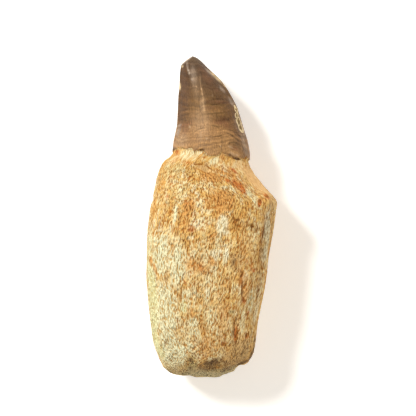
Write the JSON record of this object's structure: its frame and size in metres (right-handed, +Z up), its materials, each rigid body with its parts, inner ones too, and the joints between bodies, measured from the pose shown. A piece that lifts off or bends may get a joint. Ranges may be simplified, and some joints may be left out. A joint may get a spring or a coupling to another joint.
{
  "type": "fossil mosasaur tooth",
  "caption": "Fossil mosasaur tooth lying on its side: a blunt, curved brown enamel crown on a stout, fibrous tan root with a shoulder at one side of the neck.",
  "frame": {"origin": "under the middle of the tooth's bounding box, on the surface that it rests on", "axes": "+Y along the tooth from the broken root end to the crown's tip, +X towards the side of the root's shoulder, +Z up out of the face that is seen"},
  "size_m": [0.0446, 0.1101, 0.0342],
  "materials": {
    "fossil_tooth": "matte, porous, fibrous tan mineralised bone on the root; smooth, satin, growth-banded brown enamel on the crown"
  },
  "bodies": {
    "root": {"tooth": "fossil_tooth"}
  },
  "joints": []
}
